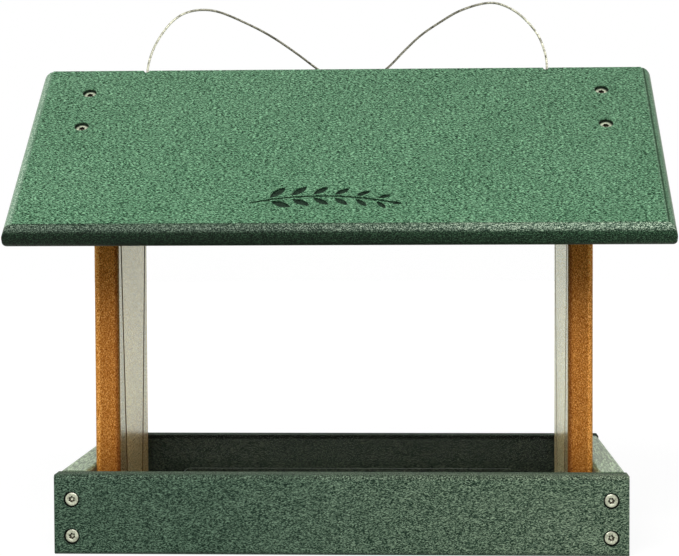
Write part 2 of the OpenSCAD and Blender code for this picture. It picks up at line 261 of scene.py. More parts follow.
def turnedPart(rows, segments):
    # surface of rows, each a height with one radius or a radius for each segment
    points, faces = [], []
    for height, radii in rows:
        for k in range(segments):
            radius = radii[k] if isinstance(radii, list) else radii
            angle = 2 * math.pi * k / segments
            points.append(Vector((radius * math.cos(angle), radius * math.sin(angle), height)))
    for i in range(len(rows) - 1):
        for k in range(segments):
            a = i * segments + k
            b = i * segments + (k + 1) % segments
            faces.append((a, a + segments, b + segments, b))
    for i, flip in ((0, False), (len(rows) - 1, True)):
        points.append(Vector((0, 0, rows[i][0])))
        hub = len(points) - 1
        for k in range(segments):
            a = i * segments + k
            b = i * segments + (k + 1) % segments
            faces.append((a, hub, b) if flip else (hub, a, b))
    return points, faces


def screwPart(shankLength, sunk):
    # sunk is how far the head lies below the board's surface
    segments = screw["segments"]
    top = -sunk
    neck = top - screw["headHeight"]

    def drive(scale):
        waves = [math.cos(2 * math.pi * screw["lobes"] * k / segments) for k in range(segments)]
        return [scale * (screw["driveRadius"] + screw["lobeDepth"] * wave) for wave in waves]

    floor = top - screw["driveDepth"]
    rim = screw["headRadius"]
    rows = [  # from the drive's floor, over the head and in to the neck
        (floor - 0.35, 0.12), (floor - 0.22, 0.75), (floor, drive(0.84)),
        (floor + 0.1, drive(0.93)), (top - 0.3, drive(0.98)), (top - 0.16, drive(1.06)),
        (top - 0.12, 2.3),
        (top - 0.03, 2.62), (top, 2.9), (top, rim - 0.62), (top - 0.06, rim - 0.32),
        (top - 0.22, rim - 0.08), (top - 0.5, rim), (top - 0.8, rim),
        (top - 1.0, rim - 0.12), (neck + 0.5, 2.3), (neck, screw["root"] + 0.25),
    ]
    end = neck - shankLength
    count = round((shankLength - 1) / screw["threadRow"])
    for i in range(1, count + 1):
        height = neck - 1 - (shankLength - 1) * i / count
        taper = min(1.0, max(0.0, (height - end) / screw["tip"]))
        radii = []
        for k in range(segments):
            phase = (height / screw["threadPitch"] - k / segments) % 1.0
            ridge = max(0.0, 1 - abs(phase - 0.5) / screw["threadShare"])
            ridge *= min(1.0, 0.25 * i)  # the thread grows over its first rows
            thread = screw["root"] + (screw["crest"] - screw["root"]) * ridge
            radii.append(max(0.08, thread * taper))
        rows.append((height, radii))
    return turnedPart(rows, segments)


def screwSet(name, places, shankLength, sunk, body, cadNode):
    ownPoints, ownFaces = screwPart(shankLength, sunk)
    firstTurn, nextTurn = screw["turns"]
    points, faces = [], []
    for i, place in enumerate(places):
        start = len(points)
        turned = place @ Matrix.Scale(mm, 4) @ Matrix.Rotation(firstTurn + nextTurn * i, 4, "Z")
        points.extend(turned @ p for p in ownPoints)
        faces.extend(tuple(start + v for v in face) for face in ownFaces)
    piece = addPiece(name, points, faces, creaseAngle=38)
    # the drive recess around its middle is the second to fifth rows of faces, which take the second
    # material: painted shade
    socket = range(screw["segments"], 5 * screw["segments"])
    for i, face in enumerate(piece.data.polygons):
        face.material_index = 1 if i % len(ownFaces) in socket else 0
    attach(piece, body)
    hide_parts(cadNode)
    return piece


screwPlaces = {  # metres
    "railX": 0.167,
    "railZ": (0.0115, 0.0345),
    "railFace": 0.107,  # from the middle to the long rails' outer faces
    "wallY": 0.048,
    "wallZ": 0.035,
    "sideFace": 0.178,  # from the middle to the side rails' outer faces
    "roofX": 0.169,
    "roofDown": (0.026, 0.064),  # down the slope from the ridge
}
roof = {
    "ridgeHeight": 0.308004,
    "pitch": math.radians(38),
    "half": 0.2035,  # from the middle to either end
}


def railPlaces(side):
    turn = Matrix.Rotation(-side * math.pi / 2, 4, "X")
    return [Matrix.Translation((sx * screwPlaces["railX"], side * screwPlaces["railFace"], z)) @ turn
            for sx in (-1, 1) for z in screwPlaces["railZ"]]


def wallPlaces():
    return [Matrix.Translation((sx * screwPlaces["sideFace"], sy * screwPlaces["wallY"],
                                screwPlaces["wallZ"])) @ Matrix.Rotation(sx * math.pi / 2, 4, "Y")
            for sx in (-1, 1) for sy in (-1, 1)]


def roofPlaces(side):
    # side -1 is the front slope
    slope = Matrix.Rotation(-side * roof["pitch"], 4, "X")
    ridge = Matrix.Translation((0, 0, roof["ridgeHeight"]))
    return [ridge @ slope @ Matrix.Translation((sx * screwPlaces["roofX"], side * down, 0))
            for sx in (-1, 1) for down in screwPlaces["roofDown"]]


trayScrews = [
    screwSet("frontRailScrewSet", railPlaces(-1), screw["railShank"], screw["sunk"],
             "base", "front_rail_screws"),
    screwSet("backRailScrewSet", railPlaces(1), screw["railShank"], screw["sunk"],
             "base", "back_rail_screws"),
    screwSet("endWallScrewSet", wallPlaces(), screw["wallShank"], screw["sunk"],
             "base", "end_wall_screws"),
]
roofScrews = [
    screwSet("frontRoofScrewSet", roofPlaces(-1), screw["roofShank"], screw["sunkRoof"],
             "roof", "front_roof_screws"),
    screwSet("backRoofScrewSet", roofPlaces(1), screw["roofShank"], screw["sunkRoof"],
             "roof", "back_roof_screws"),
]
print("screws driven")


# Cable eyes of bent wire, and the crimped sleeves that stop the cable under them

eye = {  # millimetres
    "wireRadius": 1.5,
    "sides": 14,
    "curveSteps": 6,
    "pointGap": 0.5,
    "height": 262,
    "shank": (155, 151, 147, 143, 140.6),  # from inside the wall towards the ring
    "bend": (138.9, 0.35),  # where the shank turns into the ring
    "ring": 3.5,
    "angles": range(38, 339, 15),
}
sleeve = {  # millimetres
    "radius": 3.0,
    "length": 8.0,
    "segments": 40,
    "rows": 26,
    "lip": ((0.9, 0.82), (0, 1.05), (0, 2.45), (0.12, 2.75), (0.35, 2.94)),  # height and radius
    "lipHeight": 0.6,
    "dents": (2.3, 5.7),  # heights of the two crimps
    "dentDepth": 0.55,
    "dentWidth": 0.95,
    "top": 260,
    "turn": 0.6,
}


def cableEye(name, side, cadNode):
    route = [(x, 0, eye["height"]) for x in eye["shank"]]
    route.append((*eye["bend"], eye["height"]))
    for angle in eye["angles"]:
        turn = math.radians(angle)
        route.append((rope["holeX"] + eye["ring"] * math.cos(turn), eye["ring"] * math.sin(turn),
                      eye["height"]))
    line = evenRoute([mm * p for p in smoothRoute(route, eye["curveSteps"])], eye["pointGap"] * mm)
    line = [Vector((side * p.x, p.y, p.z)) for p in line]
    points, faces = [], []
    addTube(points, faces, line, eye["wireRadius"] * mm, eye["sides"])
    piece = addPiece(name, points, faces, creaseAngle=50)
    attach(piece, "base")
    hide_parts(cadNode)
    return piece


def crimpedSleeve(name, side, cadNode):
    segments = sleeve["segments"]
    lip = sleeve["lipHeight"]
    rows = list(sleeve["lip"])
    for i in range(sleeve["rows"] + 1):
        height = lip + (sleeve["length"] - 2 * lip) * i / sleeve["rows"]
        radii = []
        for k in range(segments):
            angle = 2 * math.pi * k / segments
            squeeze = sum(math.exp(-((height - dent) / sleeve["dentWidth"]) ** 4)
                          for dent in sleeve["dents"])
            flat = max(0.0, math.cos(2 * angle)) ** 0.7
            radii.append(sleeve["radius"] - sleeve["dentDepth"] * squeeze * flat)
        rows.append((height, radii))
    top = sleeve["length"]
    rows += [(top - height, radius) for height, radius in reversed(sleeve["lip"])]
    points, faces = turnedPart(rows[::-1], segments)
    place = (Matrix.Translation((side * rope["holeX"] * mm, 0, (sleeve["top"] - top) * mm))
             @ Matrix.Scale(mm, 4) @ Matrix.Rotation(sleeve["turn"] * side, 4, "Z"))
    piece = addPiece(name, [place @ p for p in points], faces, creaseAngle=35)
    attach(piece, "base")
    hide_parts(cadNode)
    return piece


eyePieces = [cableEye("leftEye", -1, "left_cable_eye"), cableEye("rightEye", 1, "right_cable_eye")]
sleevePieces = [crimpedSleeve("leftSleeve", -1, "left_cable_stop"),
                crimpedSleeve("rightSleeve", 1, "right_cable_stop")]
print("eyes and sleeves bent")


# Material helpers

def newMaterial(name):
    material = bpy.data.materials.new(name)
    material.use_nodes = True
    return material, material.node_tree, material.node_tree.nodes["Principled BSDF"]


def feed(tree, plug, value):
    # a number, a colour or another node's socket goes into a socket
    if isinstance(value, bpy.types.NodeSocket):
        tree.links.new(value, plug)
    else:
        plug.default_value = value


def addNode(tree, kind, settings=None, **inputs):
    # settings are the node's own choices; an input goes by its name, or by n and its number
    node = tree.nodes.new(kind)
    for key, value in (settings or {}).items():
        setattr(node, key, value)
    for key, value in inputs.items():
        numbered = key[0] == "n" and key[1:].isdigit()
        feed(tree, node.inputs[int(key[1:]) if numbered else key], value)
    return node


def reckon(tree, kind, a, b):
    return addNode(tree, "ShaderNodeMath", {"operation": kind}, n0=a, n1=b).outputs[0]


def eitherSide(tree, value):
    return reckon(tree, "ABSOLUTE", value, 0.0)


def noiseAt(tree, place, size, detail=2.0, rough=0.5, bend=0.0):
    # size is about how big its blotches are, in metres
    node = addNode(tree, "ShaderNodeTexNoise", None, Vector=place, Scale=1 / size,
                   Detail=detail, Roughness=rough, Distortion=bend)
    return node.outputs


def stretched(tree, place, scale, turn=0.0):
    node = addNode(tree, "ShaderNodeMapping", {"vector_type": "TEXTURE"}, Vector=place,
                   Rotation=(0, 0, turn), Scale=scale)
    return node.outputs[0]


def softStep(tree, value, low, high, toLow=0.0, toHigh=1.0):
    return addNode(tree, "ShaderNodeMapRange", {"interpolation_type": "SMOOTHSTEP"},
                   n0=value, n1=low, n2=high, n3=toLow, n4=toHigh).outputs[0]


def colourRamp(tree, value, stops):
    node = addNode(tree, "ShaderNodeValToRGB", None, Fac=value)
    ramp = node.color_ramp
    while len(ramp.elements) < len(stops):
        ramp.elements.new(0.5)
    for element, (position, colour) in zip(ramp.elements, stops):
        element.position = position
        element.color = colour
    return node.outputs["Color"]


def mixColours(tree, share, a, b, kind="MIX"):
    return addNode(tree, "ShaderNodeMix", {"data_type": "RGBA", "blend_type": kind},
                   n0=share, n6=a, n7=b).outputs[2]


def mixNumbers(tree, share, a, b):
    return addNode(tree, "ShaderNodeMix", None, n0=share, n2=a, n3=b).outputs[0]


def setBump(tree, shader, height, distance, strength):
    bump = addNode(tree, "ShaderNodeBump", None, Height=height, Distance=distance, Strength=strength)
    tree.links.new(bump.outputs["Normal"], shader.inputs["Normal"])


def dress(material, *names):
    for name in names:
        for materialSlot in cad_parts[name].material_slots:
            materialSlot.material = material


# Clear windows

pane = {
    "tint": (1, 1, 1, 1),
    "edgeTint": fromScreen(176, 192, 188),
    "faceFrom": (0.9, 0.97),  # how squarely a surface faces front or back to count as the wide face
    "edgeRough": 0.28,
    "bend": 1.1,  # index of refraction
    "shine": 0.05,
    "scuff": 18 * mm,
    "scuffFrom": (0.4, 0.75),
    "scuffRough": 0.015,
}


def paneMaterial():
    material, tree, shader = newMaterial("clearPane")
    coords = addNode(tree, "ShaderNodeTexCoord").outputs
    facing = addNode(tree, "ShaderNodeSeparateXYZ", None, Vector=coords["Normal"]).outputs
    face = softStep(tree, eitherSide(tree, facing[1]), *pane["faceFrom"])
    tree.links.new(mixColours(tree, face, pane["edgeTint"], pane["tint"]), shader.inputs["Base Color"])
    scuffs = noiseAt(tree, coords["Object"], pane["scuff"], 4.0, 0.65)
    haze = softStep(tree, scuffs[0], *pane["scuffFrom"], 0.0, pane["scuffRough"])
    tree.links.new(mixNumbers(tree, face, pane["edgeRough"], haze), shader.inputs["Roughness"])
    shader.inputs["Transmission Weight"].default_value = 1.0
    shader.inputs["IOR"].default_value = pane["bend"]
    shader.inputs["Specular IOR Level"].default_value = pane["shine"]
    through = addNode(tree, "ShaderNodeBsdfTransparent")
    rays = addNode(tree, "ShaderNodeLightPath").outputs
    surface = addNode(tree, "ShaderNodeMixShader", None, n0=rays["Is Shadow Ray"],
                      n1=shader.outputs[0], n2=through.outputs[0])
    tree.links.new(surface.outputs[0], tree.nodes["Material Output"].inputs["Surface"])
    return material


dress(paneMaterial(), "front_window", "back_window")
print("windows cleared")


# Recycled-plastic boards

mottle = {
    "pickSize": 1.6,  # of a patch whose flecks lie one way, over a fleck's length
    "turnPick": (0.46, 0.54),  # where one way of the flecks gives way to the next
    "lastTurnPick": (0.52, 0.6),
    "grainShare": 0.45,  # of the fine grain in the relief
    "cutGrainShare": 0.5,  # of the fine grain in the colours of a cut edge
    "roughFrom": (0.35, 0.65),
    "glossFrom": (0.42, 0.58),
    "fleckStops": (0.42, 0.51, 0.6),
    "streakStops": (0.4, 0.51, 0.62),
    "cloudStops": (0.35, 0.65),
}
bore = {
    "edge": (5.15 * mm, 5.4 * mm),  # from a counterbore's middle to its wall, and past it
    "fade": 0.3 * mm,  # depth over which its painted shade comes in below a board's face
}
windowGroove = {
    "foot": 0.0306,  # from the middle of the wall to the groove, at the tray floor
    "floor": 0.020,
    "lean": math.radians(6.5),
}
bandFade = 0.3 * mm  # on either side of a band's two edges
eitherWays = {"eitherAlong": "along", "eitherAcross": "across", "eitherThrough": "through"}


def boardPlace(tree, order):
    # the place in a board's own directions: along it, across it and through it
    place = addNode(tree, "ShaderNodeTexCoord").outputs["Object"]
    apart = addNode(tree, "ShaderNodeSeparateXYZ", None, Vector=place).outputs
    if order == "roof":
        # along the ridge, down the slope from it, and above the top face, on either slope
        out = eitherSide(tree, apart[1])
        fall = reckon(tree, "SUBTRACT", roof["ridgeHeight"], apart[2])
        level, steep = math.cos(roof["pitch"]), math.sin(roof["pitch"])
        down = reckon(tree, "ADD", reckon(tree, "MULTIPLY", out, level),
                      reckon(tree, "MULTIPLY", fall, steep))
        above = reckon(tree, "SUBTRACT", reckon(tree, "MULTIPLY", out, steep),
                       reckon(tree, "MULTIPLY", fall, level))
        ways = (apart[0], down, above)
    else:
        ways = tuple(apart["xyz".index(letter)] for letter in order)
    joined = addNode(tree, "ShaderNodeCombineXYZ", None, n0=ways[0], n1=ways[1], n2=ways[2])
    return joined.outputs[0], dict(zip(("along", "across", "through"), ways))


def fleckField(tree, place, look):
    # short soft worms of colour that lie several ways, as melted flakes do in these boards
    size = (look["fleckLong"], look["fleckWide"], look["fleckWide"])
    strokes = [noiseAt(tree, stretched(tree, place, size, math.radians(turn)), 1.0, 1.5, 0.5, 0.25)[0]
               for turn in look["turns"]]
    picks = noiseAt(tree, place, look["fleckLong"] * mottle["pickSize"], 1.0)
    split = addNode(tree, "ShaderNodeSeparateColor", None, Color=picks[1]).outputs
    pair = mixNumbers(tree, softStep(tree, split[0], *mottle["turnPick"]), strokes[0], strokes[1])
    return mixNumbers(tree, softStep(tree, split[1], *mottle["lastTurnPick"]), pair, strokes[2])


def wayValue(tree, ways, way):
    # a way by its name, the same on either side of the middle, or the distance from a pane's groove
    if way == "offGroove":
        rise = reckon(tree, "SUBTRACT", ways["along"], windowGroove["floor"])
        lean = reckon(tree, "MULTIPLY", rise, math.tan(windowGroove["lean"]))
        out = reckon(tree, "SUBTRACT", eitherSide(tree, ways["across"]), windowGroove["foot"])
        return reckon(tree, "SUBTRACT", out, lean)
    if way in eitherWays:
        return eitherSide(tree, ways[eitherWays[way]])
    return ways[way]


def zoneShare(tree, ways, zone):
    # 1 where every limit of a zone holds, and 0 elsewhere
    shares = []
    for way, kind, low, high in zone:
        value = wayValue(tree, ways, way)
        if kind == "past":
            shares.append(softStep(tree, value, low, high))
        elif kind == "before":
            shares.append(softStep(tree, value, low, high, 1.0, 0.0))
        else:
            shares.append(softStep(tree, value, low - bandFade, low + bandFade))
            shares.append(softStep(tree, value, high - bandFade, high + bandFade, 1.0, 0.0))
    share = shares[0]
    for other in shares[1:]:
        share = reckon(tree, "MULTIPLY", share, other)
    return share


def wellShare(tree, ways, well):
    # 1 on the walls and floor of the screws' counterbores, and 0 elsewhere
    offsets = []
    for way in ("along", "across"):
        middle, half = well[way]
        centred = eitherSide(tree, reckon(tree, "SUBTRACT", ways[way], middle))
        offsets.append(reckon(tree, "SUBTRACT", centred, half))
    flat = addNode(tree, "ShaderNodeCombineXYZ", None, n0=offsets[0], n1=offsets[1])
    far = addNode(tree, "ShaderNodeVectorMath", {"operation": "LENGTH"}, n0=flat.outputs[0])
    near = softStep(tree, far.outputs["Value"], *bore["edge"], 1.0, 0.0)
    out = eitherSide(tree, ways["through"])
    deep = softStep(tree, out, well["face"] - bore["fade"], well["face"], 1.0, 0.0)
    return reckon(tree, "MULTIPLY", near, deep)


def boardMaterial(name, look):
    material, tree, shader = newMaterial(name)
    place, ways = boardPlace(tree, look["order"])
    field = fleckField(tree, place, look)
    low, high = look["spread"]
    skin = colourRamp(tree, field, [(low, look["dark"]), ((low + high) / 2, look["base"]),
                                    (high, look["light"])])
    grains = noiseAt(tree, place, look["grain"], 2.0, 0.6)
    relief = mixNumbers(tree, mottle["grainShare"], field, grains[0])
    rough = softStep(tree, relief, *mottle["roughFrom"], look["smoothest"], look["roughest"])
    shine = look["shine"]
    for cut in look["cuts"]:
        if "well" in cut:
            share = wellShare(tree, ways, cut["well"])
        else:
            share = zoneShare(tree, ways, cut["zone"])
        if "toned" in cut:
            skin = mixColours(tree, share, skin, cut["toned"], "MULTIPLY")
        if "colours" in cut:
            if "streaks" in cut:
                drawn = noiseAt(tree, stretched(tree, place, cut["streaks"]), 1.0, 1.0)[0]
                stops = mottle["streakStops"]
            else:
                drawn = mixNumbers(tree, mottle["cutGrainShare"], field, grains[0])
                stops = mottle["fleckStops"]
            drawnColour = colourRamp(tree, drawn, list(zip(stops, cut["colours"])))
            skin = mixColours(tree, share, skin, drawnColour)
        if "rough" in cut:
            rough = mixNumbers(tree, share, rough, cut["rough"])
        if "roughRange" in cut:
            ranged = softStep(tree, relief, *mottle["glossFrom"], *cut["roughRange"])
            rough = mixNumbers(tree, share, rough, ranged)
        if "shine" in cut:
            shine = mixNumbers(tree, share, shine, cut["shine"])
    cloud = noiseAt(tree, place, look["cloud"], 3.0, 0.6)
    shades = (look["cloudDark"], (1, 1, 1, 1))
    shade = colourRamp(tree, cloud[0], list(zip(mottle["cloudStops"], shades)))
    tree.links.new(mixColours(tree, 1.0, skin, shade, "MULTIPLY"), shader.inputs["Base Color"])
    tree.links.new(rough, shader.inputs["Roughness"])
    feed(tree, shader.inputs["Specular IOR Level"], shine)
    shader.inputs["Sheen Weight"].default_value = look["sheen"]
    shader.inputs["Sheen Roughness"].default_value = look["sheenRough"]
    shader.inputs["Sheen Tint"].default_value = look["sheenTint"]
    setBump(tree, shader, relief, look["relief"], look["reliefStrength"])
    return material


# Each limit of a zone names a way and two places on it in metres. Past or before the two, it comes in
# between them, and within them it has soft edges of its own.

roofEave = [("across", "past", 0.1652, 0.1658)]
roofZones = {
    "ends": [("eitherAlong", "past", roof["half"] - 0.0066, roof["half"] - 0.006)],
    # the next three zones carry painted light and shade on the roof's two ends
    "leftEndArrisHighlight": [("along", "before", -roof["half"] + 0.0042, -roof["half"] + 0.0056)],
    "rightEndArrisShade": [("along", "past", roof["half"] - 0.0062, roof["half"] - 0.0050)],
    "rightEndShadowLine": [("along", "within", roof["half"] - 0.0054, roof["half"] - 0.0042)],
    "eave": roofEave,
    "eaveUndersideShade": [*roofEave, ("through", "before", -0.0036, -0.0011)],
    # painted light: the eave lighter towards its right end
    "eavePaintedLight": [*roofEave, ("along", "past", -0.10, 0.26)],  # towards the right, as the tray is
    # the sprig cut into the roof, dark in its own colour, and painted shade in the screws' counterbores
    # and the ridge holes
    "sprigInkAndHoleShade": [("through", "within", -0.0152, -0.0006),
               ("eitherAlong", "before", roof["half"] - 0.0072, roof["half"] - 0.0067),
               ("across", "before", 0.1640, 0.1646)],
}
roofBoard = {
    "order": "roof",
    "dark": fromScreen(6, 42, 22),
    "base": fromScreen(48, 106, 71),
    "light": fromScreen(156, 208, 166),
    "spread": (0.435, 0.59),
    "fleckLong": 2.1 * mm,
    "fleckWide": 0.36 * mm,
    "turns": (6, -20, 27),  # degrees
    "grain": 0.5 * mm,
    "cloud": 0.07,
    "cloudDark": (0.86, 0.9, 0.88, 1),
    "smoothest": 0.24,
    "roughest": 0.42,
    "shine": 0.14,
    "sheen": 0.25,
    "sheenRough": 0.3,
    "sheenTint": (0.93, 1.0, 0.86, 1),
    "relief": 0.06 * mm,
    "reliefStrength": 0.4,
    "cuts": [
        {"zone": roofZones["ends"], "rough": 0.32,
         "colours": (fromScreen(44, 88, 60), fromScreen(92, 132, 104), fromScreen(176, 204, 176))},
        # painted highlight on the left end's arris, which faces the light
        {"zone": roofZones["leftEndArrisHighlight"], "toned": (1.85, 1.6, 1.75, 1)},
        # painted shade on the right end's arris, which faces away from the light
        {"zone": roofZones["rightEndArrisShade"], "toned": (0.72, 0.84, 0.76, 1)},
        # painted shadow line where the right end's routed step starts
        {"zone": roofZones["rightEndShadowLine"], "toned": (0.16, 0.28, 0.2, 1)},
        {"zone": roofZones["eave"], "rough": 0.5,
         "colours": (fromScreen(14, 34, 22), fromScreen(46, 74, 58), fromScreen(192, 208, 186))},
        # painted shade on the eave's underside, which the light from above misses
        {"zone": roofZones["eaveUndersideShade"], "toned": (0.12, 0.21, 0.15, 1)},
        # painted shade over the whole eave, which the next cut lightens again towards the right: a
        # painted gradient of light from the right
        {"zone": roofZones["eave"], "toned": (0.66, 0.72, 0.69, 1)},
        # painted light, lighter towards the eave's right end
        {"zone": roofZones["eavePaintedLight"], "toned": (3.2, 2.9, 3.0, 1)},
        # dark sprig colour, and painted shade in the counterbores and ridge holes
        {"zone": roofZones["sprigInkAndHoleShade"], "rough": 0.6,
         "colours": (fromScreen(10, 22, 15), fromScreen(18, 36, 26), fromScreen(60, 84, 66))},
    ],
}
gableBoard = {**roofBoard, "order": "yzx", "cuts": []}
dress(boardMaterial("greenRoofBoard", roofBoard), "roof_front_board", "roof_back_board")
dress(boardMaterial("greenGableBoard", gableBoard), "left_gable_board", "right_gable_board")

trayBoard = {
    **roofBoard,
    "dark": fromScreen(14, 34, 24),
    "base": fromScreen(46, 74, 57),
    "light": fromScreen(142, 168, 140),
    "spread": (0.415, 0.605),
    "fleckLong": 1.5 * mm,
    "fleckWide": 0.3 * mm,
    "smoothest": 0.26,
    "roughest": 0.48,
    "sheen": 0.04,
}
# painted shade on the rails' inner faces, which the roof keeps from the light
insideShadeTone = (0.2, 0.165, 0.16, 1)
# painted shade: near-black walls and floor in the screws' counterbores
screwWellShade = {"rough": 0.7,
             "colours": (fromScreen(8, 14, 11), fromScreen(14, 22, 18), fromScreen(30, 44, 36))}
longRailTop = [("across", "past", 0.0468, 0.0480)]
longRailFront = [("through", "before", -0.1000, -0.0980)]
longRailZones = {
    "top": longRailTop,
    "backTopShade": [*longRailTop, ("through", "past", -0.01, 0.01)],
    # painted light: the rail's front darker at its left and lighter towards its right end
    "front": longRailFront,
    "frontPaintedLight": [*longRailFront, ("along", "past", -0.12, 0.19)],  # towards its right end
    "inside": [("eitherThrough", "before", 0.0905, 0.0925)],
    # the middle of two screws, and how far each lies from it
    "well": {"along": (0.0, 0.167), "across": (0.023, 0.0115), "face": 0.1068},
}
longRail = {
    **trayBoard,
    "order": "xzy",
    "cuts": [
        {"zone": longRailZones["top"], "rough": 0.75,
         "colours": (fromScreen(4, 16, 9), fromScreen(36, 60, 44), fromScreen(174, 198, 168))},
        # painted shade on the back rail's top, under the roof
        {"zone": longRailZones["backTopShade"], "shine": 0.02, "toned": (0.4, 0.4, 0.42, 1)},
        # painted shade on the rail's front, which the next cut lightens towards the right end: a painted
        # gradient of light from the right
        {"zone": longRailZones["front"], "toned": (0.73, 0.8, 0.81, 1)},
        {"zone": longRailZones["frontPaintedLight"], "toned": (2.1, 1.7, 1.72, 1)},
        # painted shade on the rail's inner face
        {"zone": longRailZones["inside"], "toned": insideShadeTone},
        {"well": longRailZones["well"], **screwWellShade},
    ],
}
sideRailZones = {
    "inside": [("eitherThrough", "before", 0.1602, 0.1610)],
    "outerFace": [("eitherThrough", "past", 0.1768, 0.1776)],
    "top": [("across", "past", 0.0476, 0.0486)],
    "well": {"along": (0.0, 0.048), "across": (0.035, 0.0), "face": 0.1778},
}
sideRail = {
    **trayBoard,
    "order": "yzx",
    "sheen": 0.12,
    "sheenTint": (0.84, 1.0, 0.74, 1),
    "shine": 0.7,
    "cuts": [
        # painted shade on the rail's inner face
        {"zone": sideRailZones["inside"], "toned": insideShadeTone},
        {"zone": sideRailZones["outerFace"], "shine": 0.14},
        # painted reflection: paler streaked colours on the side rails' tops
        {"zone": sideRailZones["top"], "streaks": (6 * mm, 0.8 * mm, 0.8 * mm),
         "colours": (fromScreen(70, 98, 66), fromScreen(120, 146, 110), fromScreen(190, 214, 176))},
        {"well": sideRailZones["well"], **screwWellShade},
    ],
}
trayFloor = {**trayBoard, "order": "xyz", "cuts": []}
dress(boardMaterial("greenLongRail", longRail), "front_rail", "back_rail")
dress(boardMaterial("greenSideRail", sideRail), "left_rail", "right_rail")
dress(boardMaterial("greenTrayFloor", trayFloor), "tray_floor")

wallEdges = [("eitherAcross", "past", 0.0580, 0.0586)]  # the narrow edges with their roundovers
wallInside = [("eitherThrough", "before", 0.1446, 0.1454)]  # the wide inner faces
# the inner faces above the seed, where the painted sheen goes
wallPaintedSheen = [*wallInside, ("along", "past", 0.045, 0.085)]
wallZones = {
    "edges": wallEdges,
    "innerArrisShade": [*wallEdges, ("eitherThrough", "before", 0.1452, 0.1476)],
    "outerArrisHighlight": [*wallEdges, ("eitherThrough", "past", 0.1560, 0.1572)],
    "outerFace": [("eitherThrough", "past", 0.1588, 0.1595)],
    "underEavesLight": [*wallEdges, ("along", "past", 0.163, 0.178)],  # painted light, which lifts the shade under the eaves
    "paintedSheen": wallPaintedSheen,  # painted sheen: paler and greener inner faces above the seed
    "paintedSheenStrip": [*wallPaintedSheen, ("eitherAcross", "within", 0.0532, 0.0580)],  # painted sheen from groove to edge, paler still
    "foot": [("along", "before", 0.040, 0.078)],  # painted shade: darker towards the bottom, where the rails shade it
    "grooveRimShade": [*wallInside, ("offGroove", "within", -0.0023, 0.0023)],
    # painted shade inside the window grooves
    "groove": [("eitherThrough", "within", 0.1446, 0.1594), ("eitherAcross", "before", 0.0560, 0.0566)],
}
wallBoard = {
    **roofBoard,
    "order": "zyx",
    "dark": fromScreen(142, 78, 14),
    "base": fromScreen(194, 124, 42),
    "light": fromScreen(240, 184, 104),
    "spread": (0.38, 0.64),
    "fleckLong": 1.4 * mm,
    "fleckWide": 0.5 * mm,
    "cloudDark": (0.9, 0.88, 0.86, 1),
    "smoothest": 0.14,
    "roughest": 0.4,
    "shine": 1.0,
    "sheen": 0.12,
    "sheenTint": (0.7, 1.0, 0.6, 1),
    "relief": 0.08 * mm,
    "reliefStrength": 1.0,
    "cuts": [
        {"zone": wallZones["edges"], "rough": 0.7, "shine": 0.12,
         "colours": (fromScreen(134, 68, 10), fromScreen(194, 120, 38), fromScreen(242, 180, 100))},
        # painted shade on the walls' inner arrises, which face away from the light
        {"zone": wallZones["innerArrisShade"], "toned": (0.6, 0.5, 0.5, 1)},
        # painted highlight on the walls' outer arrises
        {"zone": wallZones["outerArrisHighlight"], "toned": (1.6, 1.8, 2.2, 1)},
        {"zone": wallZones["outerFace"], "shine": 0.16, "rough": 0.5},
        # painted light on the wall edges' tops under the eaves
        {"zone": wallZones["underEavesLight"], "toned": (1.42, 1.42, 1.4, 1)},
        # painted sheen on the inner faces above the seed
        {"zone": wallZones["paintedSheen"], "toned": (1.0, 1.4, 1.4, 1), "roughRange": (0.08, 0.35)},
        # painted sheen on the strip from the groove to the edge
        {"zone": wallZones["paintedSheenStrip"], "toned": (1.75, 1.8, 3.0, 1)},
        # painted shade towards the walls' foot
        {"zone": wallZones["foot"], "toned": (0.62, 0.58, 0.46, 1)},
        # painted shadow line along the window grooves
        {"zone": wallZones["grooveRimShade"], "rough": 0.6, "shine": 0.3, "toned": (0.2, 0.2, 0.2, 1)},
        # painted shade: near-black inside the window grooves
        {"zone": wallZones["groove"], "rough": 0.7,
         "colours": (fromScreen(10, 7, 4), fromScreen(16, 11, 6), fromScreen(30, 22, 13))},
    ],
}
dress(boardMaterial("tanWallBoard", wallBoard), "left_end_wall", "right_end_wall")
print("boards coloured")


# Metal

screwSteel = {"dark": (0.27, 0.27, 0.22, 1), "light": (0.57, 0.57, 0.47, 1), "speck": 1.3 * mm,
              "rough": (0.26, 0.42)}
# a lighter copy of the screw steel: painted light on the roof screws' heads, which sit in shaded
# counterbores
roofScrewSteelPaintedLight = {**screwSteel, "dark": (0.4, 0.42, 0.34, 1), "light": (0.78, 0.8, 0.66, 1)}
# painted shade: near-black steel in the drive recesses
screwSocketShade = {"dark": (0.012, 0.01, 0.008, 1), "light": (0.09, 0.08, 0.06, 1), "speck": 0.9 * mm,
               "rough": (0.3, 0.5)}
# the rope's steel, with painted shade in the middle and painted highlight towards the ends
ropeSteel = {"dark": (0.1, 0.095, 0.08, 1), "light": (0.4, 0.385, 0.34, 1), "speck": 2.5 * mm,
             "rough": (0.3, 0.45), "endsFrom": (0.075, 0.125),
             "middleShade": (0.68, 0.66, 0.62, 1), "endHighlight": (2.0, 2.0, 1.95, 1)}
eyeSteel = {"dark": (0.42, 0.41, 0.38, 1), "light": (0.68, 0.67, 0.63, 1), "speck": 2 * mm,
            "rough": (0.22, 0.36)}
sleeveMetal = {"dark": (0.5, 0.5, 0.5, 1), "light": (0.78, 0.78, 0.79, 1), "speck": 1.6 * mm,
               "rough": (0.32, 0.5)}
scratches = {"depth": 0.02 * mm, "strength": 0.35}


